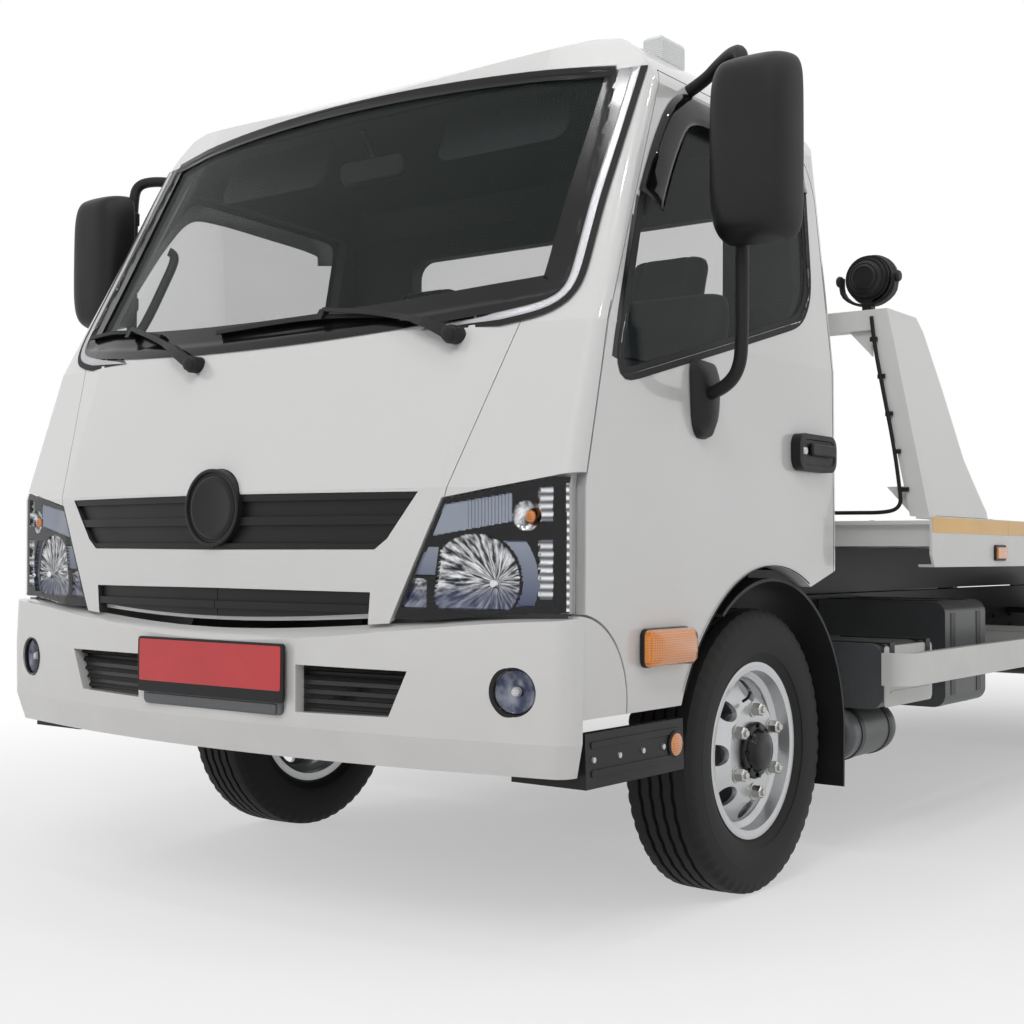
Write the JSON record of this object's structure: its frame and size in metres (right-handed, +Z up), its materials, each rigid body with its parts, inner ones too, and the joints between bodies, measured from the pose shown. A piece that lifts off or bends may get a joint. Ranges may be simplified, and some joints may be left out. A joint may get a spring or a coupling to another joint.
{
  "type": "flatbed recovery truck",
  "caption": "White light cab-over flatbed recovery truck with a tilting cab, opening doors and a platform that tilts and slides.",
  "frame": {"origin": "on the ground, below the middle of the truck's bounding box", "axes": "+Z up, +Y towards the truck's tail, +X towards the truck's own left (driver's) side"},
  "size_m": [2.5972, 7.1678, 2.26],
  "materials": {
    "cab_white": "gloss",
    "deck_white": "satin",
    "chassis_black": "satin",
    "black_plastic": "matte",
    "dark_grey_plastic": "matte",
    "window_glass": "gloss",
    "lamp_clear": "gloss",
    "lamp_amber": "gloss",
    "lamp_red": "gloss",
    "tyre_rubber": "matte",
    "wheel_silver": "satin",
    "cast_dark": "matte",
    "rod_chrome": "polished",
    "tank_grey": "satin",
    "seat_fabric": "matte"
  },
  "bodies": {
    "chassis": {"frame_ladder": "chassis_black", "bumper": "cab_white", "fog_lamps": "lamp_clear", "bumper_beam": "chassis_black", "steps": "black_plastic", "mudguards": "black_plastic", "engine": "cast_dark", "front_axle": "chassis_black", "rear_axle": "chassis_black", "leaf_springs": "chassis_black", "drive_shaft": "chassis_black", "tanks": "tank_grey", "muffler": "cast_dark", "side_guards": "deck_white", "subframe": "chassis_black", "rear_bar": "chassis_black", "tail_lamps": "lamp_red"},
    "cab": {"cab_body": "cab_white", "cab_glass": "window_glass", "front_panel": "cab_white", "corner_panels": "cab_white", "headlamps": "lamp_clear", "grille": "black_plastic", "cab_floor": "chassis_black", "dashboard": "dark_grey_plastic", "steering_wheel": "black_plastic", "seats": "seat_fabric", "wipers": "black_plastic", "roof_lamp": "lamp_clear"},
    "door_left": {"door_left": "cab_white", "door_glass_left": "window_glass", "mirror_left": "black_plastic"},
    "door_right": {"door_right": "cab_white", "door_glass_right": "window_glass", "mirror_right": "black_plastic"},
    "knuckle_left": {"knuckle_left": "cast_dark"},
    "knuckle_right": {"knuckle_right": "cast_dark"},
    "wheel_front_left": {"rim_front_left": "wheel_silver", "tyre_front_left": "tyre_rubber"},
    "wheel_front_right": {"rim_front_right": "wheel_silver", "tyre_front_right": "tyre_rubber"},
    "wheel_rear_left": {"rims_rear_left": "wheel_silver", "tyres_rear_left": "tyre_rubber"},
    "wheel_rear_right": {"rims_rear_right": "wheel_silver", "tyres_rear_right": "tyre_rubber"},
    "tilt_frame": {"tilt_frame": "chassis_black", "slide_barrel": "chassis_black"},
    "deck": {"deck": "deck_white", "headboard": "deck_white", "work_lamps": "lamp_clear", "side_markers": "lamp_amber", "winch": "cast_dark", "slide_rod": "rod_chrome"},
    "lift_barrel_left": {"lift_barrel_left": "chassis_black"},
    "lift_barrel_right": {"lift_barrel_right": "chassis_black"},
    "lift_rod_left": {"lift_rod_left": "rod_chrome"},
    "lift_rod_right": {"lift_rod_right": "rod_chrome"}
  },
  "joints": [
    {"name": "steer_left", "type": "hinge", "parent": "chassis", "child": "knuckle_left", "pos_m": [0.735, -2.456, 0.3835], "axis": [0, 0, 1], "range_deg": [-35, 35]},
    {"name": "steer_right", "type": "hinge", "parent": "chassis", "child": "knuckle_right", "pos_m": [-0.735, -2.456, 0.3835], "axis": [0, 0, 1], "range_deg": [-35, 35]},
    {"name": "spin_front_left", "type": "hinge", "parent": "knuckle_left", "child": "wheel_front_left", "pos_m": [0.827, -2.456, 0.3835], "axis": [1, 0, 0], "continuous": true},
    {"name": "spin_front_right", "type": "hinge", "parent": "knuckle_right", "child": "wheel_front_right", "pos_m": [-0.827, -2.456, 0.3835], "axis": [1, 0, 0], "continuous": true},
    {"name": "spin_rear_left", "type": "hinge", "parent": "chassis", "child": "wheel_rear_left", "pos_m": [0.76, 1.414, 0.3835], "axis": [1, 0, 0], "continuous": true},
    {"name": "spin_rear_right", "type": "hinge", "parent": "chassis", "child": "wheel_rear_right", "pos_m": [-0.76, 1.414, 0.3835], "axis": [1, 0, 0], "continuous": true},
    {"name": "cab_tilt", "type": "hinge", "parent": "chassis", "child": "cab", "pos_m": [0, -3.423, 0.564], "axis": [1, 0, 0], "range_deg": [0, 45]},
    {"name": "door_left_hinge", "type": "hinge", "parent": "cab", "child": "door_left", "pos_m": [0.982, -3.399, 1], "axis": [0, 0, -1], "range_deg": [0, 70]},
    {"name": "door_right_hinge", "type": "hinge", "parent": "cab", "child": "door_right", "pos_m": [-0.982, -3.399, 1], "axis": [0, 0, 1], "range_deg": [0, 70]},
    {"name": "bed_tilt", "type": "hinge", "parent": "chassis", "child": "tilt_frame", "pos_m": [0, 2.444, 0.725], "axis": [-1, 0, 0], "range_deg": [0, 14.5]},
    {"name": "bed_slide", "type": "slide", "parent": "tilt_frame", "child": "deck", "axis": [0, 1, 0], "range_m": [0, 2.6]},
    {"name": "lift_swing_left", "type": "hinge", "parent": "chassis", "child": "lift_barrel_left", "pos_m": [0.2, 2.144, 0.51], "axis": [-1, 0, 0], "range_deg": [0, 14.1]},
    {"name": "lift_stroke_left", "type": "slide", "parent": "lift_barrel_left", "child": "lift_rod_left", "axis": [0, -0.6562, 0.7546], "range_m": [0, 0.0935]},
    {"name": "lift_swing_right", "type": "hinge", "parent": "chassis", "child": "lift_barrel_right", "pos_m": [-0.2, 2.144, 0.51], "axis": [-1, 0, 0], "range_deg": [0, 14.1]},
    {"name": "lift_stroke_right", "type": "slide", "parent": "lift_barrel_right", "child": "lift_rod_right", "axis": [0, -0.6562, 0.7546], "range_m": [0, 0.0935]}
  ],
  "couplings": [
    {"joint": "steer_right", "follows": "steer_left", "ratio": 1},
    {"joint": "lift_swing_left", "follows": "bed_tilt", "ratio": 0.97},
    {"joint": "lift_stroke_left", "follows": "bed_tilt", "m_per_rad": 0.36795},
    {"joint": "lift_swing_right", "follows": "bed_tilt", "ratio": 0.97},
    {"joint": "lift_stroke_right", "follows": "bed_tilt", "m_per_rad": 0.36795}
  ]
}
